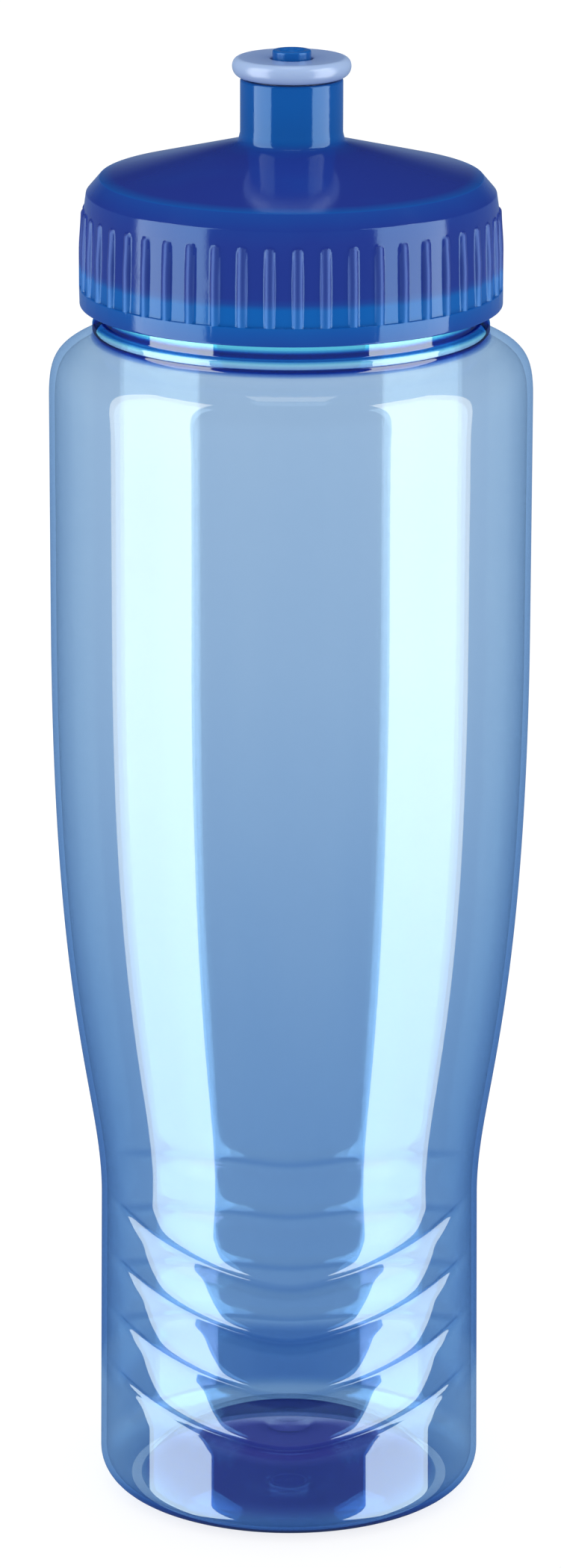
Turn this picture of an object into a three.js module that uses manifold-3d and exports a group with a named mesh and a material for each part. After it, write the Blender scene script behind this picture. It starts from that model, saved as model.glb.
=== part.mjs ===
// Sports squeeze bottle: a blown bottle, a screw lid, a push-pull nozzle and the lid's liner.
// Lengths are in millimetres. +Z is up, and the origin is the centre of the base.
// The bottle's front, with its smile-shaped grip grooves, faces -Y.
import * as THREE from "three";
import { mergeVertices } from "three/addons/utils/BufferGeometryUtils.js";
import Module from "manifold-3d";

const wasm = await Module();
wasm.setup();

// Bottle body
const FOOT_RADIUS = 30.6;
const WAIST_RADIUS = 30.25;
const BODY_RADIUS = 37.7;
const WALL = 0.9;
const FOOT_CORNER = 5;
const RING_INNER = 23.8;
const PUSH_UP_HEIGHT = 8.4;
const PUSH_UP_BROW = 15;
const PUSH_UP_HEEL = 21;
const GATE_RADIUS = 4.2;
const GATE_STEP = 1;
const GATE_DEPTH = 0.5;
const TAPER_BOTTOM = 48.75;
const TAPER_TOP = 143.3;
const TAPER_LOW_HANDLE = 17.5;
const TAPER_HIGH_HANDLE = 66.2;
const TAPER_ROWS = 9;
const SHOULDER_BOTTOM = 180;
const SHOULDER_TOP = 189.7;
const SHOULDER_BROW = 187.3;
const SHOULDER_TURN = 35.9;
const NECK_FOOT = 30.3;

// Grip grooves: heights are of the groove's lowest point, at the middle of the front
const GROOVES = 4;
const TOP_GROOVE = 42.4;
const GROOVE_PITCH = 9.1;
const TOP_SAG = 9.6;
const BOTTOM_SAG = 8.1;
const GROOVE_END = THREE.MathUtils.degToRad(76);
const GROOVE_FULL = THREE.MathUtils.degToRad(52);
const SMILE_ROUNDING = THREE.MathUtils.degToRad(10);
const GROOVE_DEPTH = 0.6;
const GROOVE_WIDTH = 0.9;
const PILLOW_RISE = 0.6;
const SAG_FLOOR = 6;
const SAG_CEILING = 84;

// Neck and its thread
const NECK_RADIUS = 29.6;
const NECK_BORE = 28.2;
const NECK_TOP = 209.7;
const NECK_EDGE = 0.4;
const BEAD_RADIUS = 30.9;
const BEAD_BOTTOM = 190.5;
const BEAD_TOP = 191.8;
const THREAD_PITCH = 5;
const THREAD_TURNS = 1.25;
const NECK_THREAD_START = 199.6;
const NECK_THREAD_CREST = 30.7;
const THREAD_ROOT_WIDTH = 2;
const THREAD_CREST_WIDTH = 1;
const THREAD_STEPS = 36;
const THREAD_BITE = 0.4;
const THREAD_END_SIZE = 0.35;
const THREAD_END_LENGTH = 0.08;

// Lid
const RIM_RADIUS = 32.85;
const RIM_BOTTOM = 194.5;
const RIM_TOP = 197.35;
const RIM_EDGE = 0.4;
const WALL_LOW_RADIUS = 32.4;
const WALL_HIGH_RADIUS = 32.05;
const WALL_TOP = 210;
const CORNER_RADIUS = 31.75;
const CORNER_HEIGHT = 212;
const DOME_EDGE_RADIUS = 29.7;
const DOME_EDGE_HEIGHT = 214.4;
const DOME_EDGE = 0.6;
const DOME_FOOT_RADIUS = 9.4;
const DOME_FOOT_HEIGHT = 219.6;
const LID_BORE = 31.15;
const LID_THREAD_CREST = 29.95;
const SEAT_HEIGHT = 211.3;
const SEAT_INNER = 27;
const ROOF_THICKNESS = 1.6;
const TOWER_RADIUS = 7.95;
const TOWER_BORE = 6.8;
const TOWER_EDGE = 0.4;
const TOWER_FILLET_TOP = 221.4;
const TOWER_TOP = 229.7;
const CATCH_RADIUS = 6.3;
const CATCH_DEPTH = 1.5;
const SLEEVE_BOTTOM = 216.2;
const RIBS = 48;
const RIB_RADIUS = 0.95;
const RIB_PROUD = 0.5;
const RIB_TOP = 209.7;
const RIB_TURN = THREE.MathUtils.degToRad(1.76);

// Centre pin, held in the tower by three spokes with the drink flowing between them
const PIN_RADIUS = 3;
const PIN_TOP = 234.1;
const PIN_EDGE = 0.3;
const PIN_DIMPLE_RADIUS = 1.7;
const PIN_DIMPLE_DEPTH = 0.4;
const SPOKES = 3;
const SPOKE_WIDTH = 1.4;
const SPOKE_HEIGHT = 1.8;
const SPOKE_REACH = 7.4;

// Nozzle, shown pushed down
const LIP_RADIUS = 9.2;
const LIP_FOOT_RADIUS = 7.95;
const LIP_BOTTOM = 230;
const LIP_TOP = 233;
const LIP_DISH = 0.15;
const LIP_BULGE = 0.4;
const LIP_EDGE = 0.3;
const HOLE_RADIUS = 3.3;
const HOLE_FLOOR = 231.4;
const STEM_RADIUS = 6;
const STEM_BORE = 4.7;
const STEM_BOTTOM = 219.9;
const SNAP_RADIUS = 6.45;
const SNAP_HEIGHT = 1.4;

// Liner between the neck and the lid
const LINER_BOTTOM = 210;
const LINER_TOP = 211;
const LINER_INNER = 27.6;
const LINER_OUTER = 30.8;

const BODY_SEGMENTS = 48;
const NOZZLE_SEGMENTS = 32;
const PIN_SEGMENTS = 24;
const WELD = 1e-4;

const clearBlue = new THREE.MeshStandardMaterial({
  name: "clear_blue_pet",
  color: 0x9cc4ec,
  roughness: 0.04,
  metalness: 0,
});
const lidBlue = new THREE.MeshStandardMaterial({
  name: "deep_blue_polypropylene",
  color: 0x1f3a94,
  roughness: 0.12,
  metalness: 0,
});
const frostedBlue = new THREE.MeshStandardMaterial({
  name: "frosted_blue_nozzle",
  color: 0xa6bde0,
  roughness: 0.3,
  metalness: 0,
});
const linerWhite = new THREE.MeshStandardMaterial({
  name: "white_liner_foam",
  color: 0xeef1f4,
  roughness: 0.7,
  metalness: 0,
});

const point = (x, y) => new THREE.Vector2(x, y);

// ---- solids ----------------------------------------------------------------------------------

function toManifold(geometry) {
  const bare = new THREE.BufferGeometry();
  bare.setAttribute("position", geometry.getAttribute("position"));
  bare.setIndex(geometry.getIndex());
  const welded = mergeVertices(bare, WELD);
  const corners = welded.getIndex().array;
  const faces = [];
  for (let i = 0; i < corners.length; i += 3) {
    const [a, b, c] = corners.slice(i, i + 3);
    if (a !== b && b !== c && c !== a) {
      faces.push(a, b, c);
    }
  }
  const mesh = new wasm.Mesh({
    numProp: 3,
    vertProperties: new Float32Array(welded.getAttribute("position").array),
    triVerts: new Uint32Array(faces),
  });
  return new wasm.Manifold(mesh);
}

function toMesh(name, solid, material) {
  const { vertProperties, triVerts } = solid.getMesh();
  const geometry = new THREE.BufferGeometry();
  geometry.setAttribute("position", new THREE.BufferAttribute(vertProperties, 3));
  geometry.setIndex(new THREE.BufferAttribute(triVerts, 1));
  geometry.computeVertexNormals();
  const mesh = new THREE.Mesh(geometry, material);
  mesh.name = name;
  return mesh;
}

// Turns a profile of (radius, height) points, listed anticlockwise, about +Z.
function turned(profile, segments) {
  return new THREE.LatheGeometry(profile, segments).rotateX(Math.PI / 2);
}

function ring(profile, segments) {
  return turned([...profile, profile[0]], segments);
}

// One run of screw thread: a bar of tapering section, bent into a rising helix.
// It fades into the wall at both ends.
function threadRun(rootRadius, crestRadius, startHeight) {
  const depth = Math.abs(crestRadius - rootRadius) + THREAD_BITE;
  const side = Math.sign(crestRadius - rootRadius);
  const bar = new THREE.BoxGeometry(1, 1, 1, THREAD_STEPS, 1, 1);
  const spots = bar.getAttribute("position");
  for (let i = 0; i < spots.count; i += 1) {
    const along = spots.getX(i) + 0.5;
    const rise = spots.getY(i) + 0.5;
    const fromEnd = Math.min(along, 1 - along) / THREAD_END_LENGTH;
    const fade = Math.min(1, THREAD_END_SIZE + (1 - THREAD_END_SIZE) * fromEnd);
    const width = THREE.MathUtils.lerp(THREAD_ROOT_WIDTH, THREAD_CREST_WIDTH, rise) * fade;
    const radius = rootRadius + side * (rise * depth * fade - THREAD_BITE);
    const turn = along * THREAD_TURNS;
    const height = startHeight + turn * THREAD_PITCH - side * spots.getZ(i) * width;
    spots.setXYZ(
      i,
      radius * Math.cos(turn * 2 * Math.PI),
      radius * Math.sin(turn * 2 * Math.PI),
      height,
    );
  }
  return toManifold(bar);
}

// ---- bottle ----------------------------------------------------------------------------------

const taper = new THREE.CubicBezierCurve(
  point(WAIST_RADIUS, TAPER_BOTTOM),
  point(WAIST_RADIUS, TAPER_BOTTOM + TAPER_LOW_HANDLE),
  point(BODY_RADIUS, TAPER_TOP - TAPER_HIGH_HANDLE),
  point(BODY_RADIUS, TAPER_TOP),
);

// The bottle's outside radius at a height between its foot and its shoulder.
function bodyRadius(height) {
  if (height <= TAPER_BOTTOM) {
    const up = (height - FOOT_CORNER) / (TAPER_BOTTOM - FOOT_CORNER);
    return THREE.MathUtils.lerp(FOOT_RADIUS, WAIST_RADIUS, up);
  }
  if (height >= TAPER_TOP) {
    return BODY_RADIUS;
  }
  let low = 0;
  let high = 1;
  for (let step = 0; step < 30; step += 1) {
    const middle = (low + high) / 2;
    if (taper.getPoint(middle).y < height) {
      low = middle;
    } else {
      high = middle;
    }
  }
  return taper.getPoint(low).x;
}

const bottomGroove = TOP_GROOVE - (GROOVES - 1) * GROOVE_PITCH;
const topEnd = TOP_GROOVE + TOP_SAG;
const bottomEnd = bottomGroove + BOTTOM_SAG;
const endPitch = (topEnd - bottomEnd) / (GROOVES - 1);

// How far a line that starts at this height at the bottle's sides sags at its front.
function sagOf(height) {
  const { lerp, clamp, inverseLerp } = THREE.MathUtils;
  if (height < bottomEnd) {
    return BOTTOM_SAG * clamp(inverseLerp(SAG_FLOOR, bottomEnd, height), 0, 1);
  }
  if (height > topEnd) {
    return TOP_SAG * clamp(inverseLerp(SAG_CEILING, topEnd, height), 0, 1);
  }
  return lerp(BOTTOM_SAG, TOP_SAG, inverseLerp(bottomEnd, topEnd, height));
}

// 0 in the middle of the front or back, 1 where the grooves run out at the sides.
function smile(angle) {
  const reach = Math.hypot(GROOVE_END, SMILE_ROUNDING) - SMILE_ROUNDING;
  const rise = Math.hypot(Math.min(angle, GROOVE_END), SMILE_ROUNDING) - SMILE_ROUNDING;
  return rise / reach;
}

// How deep the grip is pressed in at this height at the sides.
function dentOf(height) {
  const nearest = THREE.MathUtils.clamp(Math.round((topEnd - height) / endPitch), 0, GROOVES - 1);
  const away = Math.abs(height - (topEnd - nearest * endPitch));
  const pillow = PILLOW_RISE * Math.max(0, 1 - away / (endPitch / 2)) ** 2;
  return pillow + GROOVE_DEPTH * Math.exp(-((away / GROOVE_WIDTH) ** 2));
}

// Bends the level rows of a turned wall into smiles and presses the grooves into it.
function pressGrip(geometry) {
  const spots = geometry.getAttribute("position");
  for (let i = 0; i < spots.count; i += 1) {
    const x = spots.getX(i);
    const y = spots.getY(i);
    const height = spots.getZ(i);
    const radius = Math.hypot(x, y);
    if (radius > RING_INNER + FOOT_CORNER / 2 && height > SAG_FLOOR && height < SAG_CEILING) {
      const angle = Math.atan2(Math.abs(x), Math.abs(y));
      const bent = height - sagOf(height) * (1 - smile(angle));
      const press = THREE.MathUtils.smoothstep(GROOVE_END - angle, 0, GROOVE_END - GROOVE_FULL);
      const moved = radius + bodyRadius(bent) - bodyRadius(height) - dentOf(height) * press;
      spots.setXYZ(i, (x * moved) / radius, (y * moved) / radius, bent);
    }
  }
  return geometry;
}

// Heights, at the sides, of the rows of points that follow each groove and pillow.
function gripRows() {
  const rows = [];
  for (let groove = GROOVES - 1; groove >= 0; groove -= 1) {
    const middle = topEnd - groove * endPitch;
    rows.push(middle - GROOVE_WIDTH, middle, middle + GROOVE_WIDTH);
    if (groove > 0) {
      rows.push(middle + 0.3 * endPitch, middle + 0.5 * endPitch, middle + 0.7 * endPitch);
    }
  }
  return rows;
}

// Heights of the rows above the grip, closer together where the waist turns.
function taperRows() {
  const start = topEnd + endPitch / 2;
  const steps = Array.from({ length: TAPER_ROWS }, (_, step) => step / (TAPER_ROWS - 1));
  return steps.map((share) => THREE.MathUtils.lerp(start, TAPER_TOP, share ** 1.5));
}

// A quarter circle from the foot's flat ring up to its wall.
function footArc(radius, steps) {
  const centre = FOOT_RADIUS - FOOT_CORNER;
  const turns = Array.from({ length: steps + 1 }, (_, step) => (step / steps) * (Math.PI / 2));
  return turns.map((turn) => (
    point(centre + radius * Math.sin(turn), FOOT_CORNER - radius * Math.cos(turn))
  ));
}

function shoulderCurve(inset) {
  return new THREE.CubicBezierCurve(
    point(BODY_RADIUS - inset, SHOULDER_BOTTOM - inset),
    point(BODY_RADIUS - inset, SHOULDER_BROW - inset),
    point(SHOULDER_TURN - inset, SHOULDER_BROW - inset),
    point(NECK_FOOT - inset, SHOULDER_TOP - inset),
  );
}

function bottleProfile() {
  const rows = [...gripRows(), ...taperRows()];
  const bandMiddle = (FOOT_CORNER + bottomGroove) / 2;

  const pushUp = new THREE.CubicBezierCurve(
    point(GATE_RADIUS, PUSH_UP_HEIGHT),
    point(PUSH_UP_BROW, PUSH_UP_HEIGHT),
    point(PUSH_UP_HEEL, PUSH_UP_HEIGHT / 2),
    point(RING_INNER, 0),
  );
  return [
    point(0, PUSH_UP_HEIGHT - GATE_DEPTH),
    point(GATE_RADIUS - GATE_STEP, PUSH_UP_HEIGHT - GATE_DEPTH),
    ...pushUp.getPoints(5),
    ...footArc(FOOT_CORNER, 3),
    point(bodyRadius(bandMiddle), bandMiddle),
    ...rows.map((row) => point(bodyRadius(row), row)),
    ...shoulderCurve(0).getPoints(6),
    point(NECK_FOOT, BEAD_BOTTOM - NECK_EDGE),
    point(BEAD_RADIUS, BEAD_BOTTOM),
    point(BEAD_RADIUS, BEAD_TOP - NECK_EDGE),
    point(BEAD_RADIUS - NECK_EDGE, BEAD_TOP),
    point(NECK_RADIUS, BEAD_TOP + NECK_EDGE),
    point(NECK_RADIUS, NECK_TOP - NECK_EDGE),
    point(NECK_RADIUS - NECK_EDGE, NECK_TOP),
    point(NECK_BORE, NECK_TOP),
    point(NECK_BORE, SHOULDER_TOP),
    ...shoulderCurve(WALL).getPoints(4).reverse(),
    ...rows.reverse().map((row) => point(bodyRadius(row) - WALL, row)),
    ...footArc(FOOT_CORNER - WALL, 2).reverse(),
    ...pushUp.getPoints(4).reverse().map((spot) => point(spot.x, spot.y + WALL)),
    point(0, PUSH_UP_HEIGHT + WALL),
  ];
}

function bottle() {
  const shell = toManifold(pressGrip(turned(bottleProfile(), BODY_SEGMENTS)));
  const thread = threadRun(NECK_RADIUS, NECK_THREAD_CREST, NECK_THREAD_START);
  return shell.add(thread);
}

// ---- lid -------------------------------------------------------------------------------------

function lidProfile() {
  const fillet = new THREE.QuadraticBezierCurve(
    point(DOME_FOOT_RADIUS, DOME_FOOT_HEIGHT),
    point(TOWER_RADIUS, DOME_FOOT_HEIGHT + TOWER_EDGE),
    point(TOWER_RADIUS, TOWER_FILLET_TOP),
  );
  return [
    point(LID_BORE, RIM_BOTTOM),
    point(RIM_RADIUS - RIM_EDGE, RIM_BOTTOM),
    point(RIM_RADIUS, RIM_BOTTOM + RIM_EDGE),
    point(RIM_RADIUS, RIM_TOP - RIM_EDGE / 2),
    point(WALL_LOW_RADIUS, RIM_TOP),
    point(WALL_HIGH_RADIUS, WALL_TOP),
    point(CORNER_RADIUS, CORNER_HEIGHT),
    point(DOME_EDGE_RADIUS + DOME_EDGE / 2, DOME_EDGE_HEIGHT - DOME_EDGE / 2),
    point(DOME_EDGE_RADIUS - DOME_EDGE / 2, DOME_EDGE_HEIGHT),
    ...fillet.getPoints(3),
    point(TOWER_RADIUS, TOWER_TOP - TOWER_EDGE),
    point(TOWER_RADIUS - TOWER_EDGE, TOWER_TOP),
    point(CATCH_RADIUS, TOWER_TOP),
    point(CATCH_RADIUS, TOWER_TOP - CATCH_DEPTH),
    point(TOWER_BORE, TOWER_TOP - CATCH_DEPTH - TOWER_EDGE),
    point(TOWER_BORE, SLEEVE_BOTTOM),
    point(TOWER_RADIUS, SLEEVE_BOTTOM),
    point(TOWER_RADIUS + TOWER_EDGE, DOME_FOOT_HEIGHT - ROOF_THICKNESS),
    point(SEAT_INNER, DOME_EDGE_HEIGHT - ROOF_THICKNESS + DOME_EDGE),
    point(SEAT_INNER, SEAT_HEIGHT),
    point(LID_BORE, SEAT_HEIGHT),
  ];
}

function pin() {
  const profile = [
    point(0, SLEEVE_BOTTOM),
    point(PIN_RADIUS, SLEEVE_BOTTOM),
    point(PIN_RADIUS, PIN_TOP - PIN_EDGE),
    point(PIN_RADIUS - PIN_EDGE, PIN_TOP),
    point(PIN_DIMPLE_RADIUS + PIN_EDGE, PIN_TOP),
    point(PIN_DIMPLE_RADIUS, PIN_TOP - PIN_DIMPLE_DEPTH),
    point(0, PIN_TOP - PIN_DIMPLE_DEPTH),
  ];
  return toManifold(turned(profile, PIN_SEGMENTS));
}

function spoke(index) {
  const bar = new THREE.BoxGeometry(SPOKE_REACH, SPOKE_WIDTH, SPOKE_HEIGHT);
  bar.translate(SPOKE_REACH / 2, 0, SLEEVE_BOTTOM + SPOKE_HEIGHT / 2);
  bar.rotateZ((index / SPOKES) * 2 * Math.PI);
  return toManifold(bar);
}

// A raised grip rib: a round bar sunk in the wall, domed on top and standing on the rim band.
function rib(index) {
  const foot = RIM_TOP - RIB_RADIUS;
  const length = RIB_TOP - foot - 2 * RIB_RADIUS;
  const bar = new THREE.CapsuleGeometry(RIB_RADIUS, length, 2, 8);
  bar.rotateX(Math.PI / 2);
  bar.translate(WALL_LOW_RADIUS + RIB_PROUD - RIB_RADIUS, 0, (foot + RIB_TOP) / 2);
  bar.rotateZ(RIB_TURN + (index / RIBS) * 2 * Math.PI);
  return toManifold(bar);
}

function lid() {
  const threadStart = NECK_THREAD_START - THREAD_PITCH / 2;
  const pieces = [toManifold(ring(lidProfile(), BODY_SEGMENTS)), pin()];
  pieces.push(threadRun(LID_BORE, LID_THREAD_CREST, threadStart));
  for (let index = 0; index < SPOKES; index += 1) {
    pieces.push(spoke(index));
  }
  for (let index = 0; index < RIBS; index += 1) {
    pieces.push(rib(index));
  }
  return wasm.Manifold.union(pieces);
}

// ---- nozzle and liner ------------------------------------------------------------------------

function nozzle() {
  const lip = new THREE.CubicBezierCurve(
    point(LIP_FOOT_RADIUS, LIP_BOTTOM),
    point(LIP_RADIUS + LIP_BULGE, LIP_BOTTOM + LIP_BULGE),
    point(LIP_RADIUS + LIP_BULGE, LIP_TOP),
    point(LIP_FOOT_RADIUS, LIP_TOP),
  );
  const profile = [
    point(STEM_BORE, STEM_BOTTOM),
    point(SNAP_RADIUS - LIP_EDGE, STEM_BOTTOM),
    point(SNAP_RADIUS, STEM_BOTTOM + LIP_EDGE),
    point(SNAP_RADIUS, STEM_BOTTOM + SNAP_HEIGHT - LIP_EDGE),
    point(STEM_RADIUS, STEM_BOTTOM + SNAP_HEIGHT),
    point(STEM_RADIUS, LIP_BOTTOM),
    ...lip.getPoints(7),
    point(HOLE_RADIUS + LIP_EDGE, LIP_TOP - LIP_DISH),
    point(HOLE_RADIUS, LIP_TOP - LIP_DISH - LIP_EDGE),
    point(HOLE_RADIUS, HOLE_FLOOR),
    point(STEM_BORE, HOLE_FLOOR - LIP_BULGE),
  ];
  return toManifold(ring(profile, NOZZLE_SEGMENTS));
}

function liner() {
  const profile = [
    point(LINER_INNER, LINER_BOTTOM),
    point(LINER_OUTER, LINER_BOTTOM),
    point(LINER_OUTER, LINER_TOP),
    point(LINER_INNER, LINER_TOP),
  ];
  return toManifold(ring(profile, BODY_SEGMENTS));
}

const squeezeBottle = new THREE.Group();
squeezeBottle.name = "sports_squeeze_bottle";
squeezeBottle.add(toMesh("bottle", bottle(), clearBlue));
squeezeBottle.add(toMesh("lid", lid(), lidBlue));
squeezeBottle.add(toMesh("nozzle", nozzle(), frostedBlue));
squeezeBottle.add(toMesh("seal_ring", liner(), linerWhite));

export default squeezeBottle;
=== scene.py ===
"""The looks of a sports squeeze bottle, built around its CAD model.

The driving dimensions are in millimetres and repeat the CAD model's; meshes are made in metres.
+Z is up, the origin is the centre of the base, and the front, with the grip grooves, faces -Y.
"""
import math

import bpy
import numpy as np
from mathutils import Matrix


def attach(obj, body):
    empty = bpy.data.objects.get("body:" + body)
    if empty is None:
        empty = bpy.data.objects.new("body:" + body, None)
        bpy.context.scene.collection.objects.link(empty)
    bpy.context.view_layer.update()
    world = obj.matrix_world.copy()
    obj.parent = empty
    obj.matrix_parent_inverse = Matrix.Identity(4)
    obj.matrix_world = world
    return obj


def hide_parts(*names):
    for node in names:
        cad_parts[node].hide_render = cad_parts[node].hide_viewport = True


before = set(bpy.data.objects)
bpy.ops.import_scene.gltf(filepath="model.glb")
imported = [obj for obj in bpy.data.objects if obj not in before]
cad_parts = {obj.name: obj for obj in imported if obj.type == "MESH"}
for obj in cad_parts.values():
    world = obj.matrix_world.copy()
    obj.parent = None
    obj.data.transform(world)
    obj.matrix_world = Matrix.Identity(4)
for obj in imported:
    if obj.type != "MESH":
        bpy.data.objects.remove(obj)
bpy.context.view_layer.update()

MM = 0.001

# Roundings of small edges
CRISP = 0.1
SOFT = 0.2
ROUND = 0.3

# Bottle body
FOOT_RADIUS = 30.6
WAIST_RADIUS = 30.25
BODY_RADIUS = 37.7
WALL = 0.9
FOOT_CORNER = 5
RING_INNER = 23.8
HEEL_EDGE = 0.4
PUSH_UP_HEIGHT = 8.4
PUSH_UP_BROW = 15
PUSH_UP_HEEL = 21
GATE_RADIUS = 4.2
GATE_STEP = 1
GATE_DEPTH = 0.5
GATE_RIDGE = 0.45
GATE_DIP = 0.1
GATE_RIDGE_START = 40
GATE_RIDGE_END = 140
GATE_RIDGE_STEPS = 6
TAPER_BOTTOM = 48.75
TAPER_TOP = 143.3
TAPER_LOW_HANDLE = 17.5
TAPER_HIGH_HANDLE = 66.2
SHOULDER_BOTTOM = 180
SHOULDER_TOP = 189.7
SHOULDER_BROW = 187.3
SHOULDER_TURN = 35.9
NECK_FOOT = 30.3

# Grip grooves: heights are of the groove's lowest point, at the middle of the front
GROOVES = 4
TOP_GROOVE = 42.4
GROOVE_PITCH = 9.1
TOP_SAG = 9.6
BOTTOM_SAG = 8.1
GROOVE_END = math.radians(76)
GROOVE_FULL = math.radians(52)
SMILE_ROUNDING = math.radians(10)
GROOVE_DEPTH = 0.6
GROOVE_WIDTH = 0.9
PILLOW_RISE = 0.6
SAG_FLOOR = 6
SAG_CEILING = 84

# Neck and its thread
NECK_RADIUS = 29.6
NECK_BORE = 28.2
NECK_TOP = 209.7
NECK_EDGE = 0.4
BEAD_RADIUS = 30.9
BEAD_BOTTOM = 190.5
BEAD_TOP = 191.8
THREAD_PITCH = 5
THREAD_TURNS = 1.25
NECK_THREAD_START = 199.6
NECK_THREAD_CREST = 30.7
THREAD_ROOT_WIDTH = 2
THREAD_CREST_WIDTH = 1
THREAD_END = 0.08

# Lid
RIM_RADIUS = 32.85
RIM_BOTTOM = 194.5
RIM_TOP = 197.35
WALL_LOW_RADIUS = 32.4
WALL_HIGH_RADIUS = 32.05
WALL_TOP = 210
CORNER_RADIUS = 31.75
CORNER_HEIGHT = 212
DOME_EDGE_RADIUS = 29.7
DOME_EDGE_HEIGHT = 214.4
DOME_FOOT_RADIUS = 9.4
DOME_FOOT_HEIGHT = 219.6
LID_BORE = 31.15
LID_THREAD_CREST = 29.95
SEAT_HEIGHT = 211.3
SEAT_INNER = 27
ROOF_THICKNESS = 1.6
ROOF_SAG = 0.6
SEAT_LAND = 1
TOWER_RADIUS = 7.95
TOWER_BORE = 6.8
TOWER_EDGE = 0.4
TOWER_FILLET_TOP = 221.4
TOWER_TOP = 229.7
CATCH_RADIUS = 6.3
CATCH_DEPTH = 1.5
SLEEVE_BOTTOM = 216.2
RIBS = 48
RIB_RADIUS = 0.95
RIB_PROUD = 0.5
RIB_TOP = 209.7
RIB_TURN = math.radians(1.76)

# Centre pin and its spokes
PIN_RADIUS = 3
PIN_TOP = 234.1
PIN_EDGE = 0.3
PIN_COLUMNS = 64
PIN_DIMPLE_RADIUS = 1.7
PIN_DIMPLE_DEPTH = 0.4
SPOKES = 3
SPOKE_WIDTH = 1.4
SPOKE_HEIGHT = 1.8
SPOKE_REACH = 7.4
SPOKE_SINK = 0.4
SPOKE_ROUNDING = 0.35
SPOKE_STATIONS = 6

# Nozzle
LIP_RADIUS = 9.2
LIP_FOOT_RADIUS = 7.95
LIP_BOTTOM = 230
LIP_TOP = 233
LIP_DISH = 0.15
LIP_BULGE = 0.4
LIP_EDGE = 0.3
HOLE_RADIUS = 3.3
HOLE_FLOOR = 231.4
STEM_RADIUS = 6
STEM_BORE = 4.7
STEM_BOTTOM = 219.9
SNAP_RADIUS = 6.45
SNAP_HEIGHT = 1.4

# Liner between the neck and the lid
LINER_BOTTOM = 210
LINER_TOP = 211
LINER_INNER = 27.6
LINER_OUTER = 30.8
LINER_ROUNDING = 0.25
LINER_COLUMNS = 192


# ---- outlines --------------------------------------------------------------------------------

def bezier(start, first, second, end, steps):
    """Points along a cubic curve, both ends included."""
    share = np.linspace(0, 1, steps + 1)[:, None]
    rest = 1 - share
    corners = [np.array(spot, dtype=float) for spot in (start, first, second, end)]
    weights = (rest ** 3, 3 * share * rest ** 2, 3 * share ** 2 * rest, share ** 3)
    return sum(weight * corner for weight, corner in zip(weights, corners))


def arc(centre, radius, start, end, steps):
    """Points along an arc; angles are in degrees, from straight out, upwards."""
    turns = np.radians(np.linspace(start, end, steps + 1))
    return np.column_stack((centre[0] + radius * np.cos(turns), centre[1] + radius * np.sin(turns)))


# A rounded corner takes at most this share of its shorter side, and its arc this share of that
SIDE_SHARE = 0.45
ARC_SHARE = 0.8


def rounded(corners, closed=False, steps=4, hold=0.12):
    """Rounds each (radius, height, rounding) corner of an outline, with a row held on each side."""
    spots = []
    count = len(corners)
    for index, corner in enumerate(corners):
        here = np.array(corner[:2], dtype=float)
        rounding = corner[2] if len(corner) > 2 else 0
        at_end = not closed and index in (0, count - 1)
        if rounding == 0 or at_end:
            spots.append(here)
            continue
        back = np.array(corners[index - 1][:2]) - here
        ahead = np.array(corners[(index + 1) % count][:2]) - here
        back_length = np.linalg.norm(back)
        ahead_length = np.linalg.norm(ahead)
        back = back / back_length
        ahead = ahead / ahead_length
        opening = math.acos(max(-1.0, min(1.0, float(back @ ahead))))
        room = SIDE_SHARE * min(back_length, ahead_length)
        reach = min(rounding / math.tan(opening / 2), room * ARC_SHARE)
        held = min(reach + hold, room)
        spots.append(here + back * held)
        for share in np.linspace(0, 1, steps + 1):
            start = here + back * reach
            end = here + ahead * reach
            spots.append((1 - share) ** 2 * start + 2 * share * (1 - share) * here + share ** 2 * end)
        spots.append(here + ahead * held)
    return np.array(spots)


def spaced(start, end, step):
    """Evenly spaced values from start to end, about a step apart, both included."""
    return np.linspace(start, end, max(2, round(abs(end - start) / step) + 1))


def smoothstep(value, low, high):
    """0 below low, 1 above high, and a smooth curve between them."""
    share = np.clip((value - low) / (high - low), 0, 1)
    return share * share * (3 - 2 * share)


def bell(value, middle, width):
    """1 at the middle, falling away smoothly on both sides."""
    return np.exp(-(((value - middle) / width) ** 2))


# ---- meshes ----------------------------------------------------------------------------------

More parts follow.
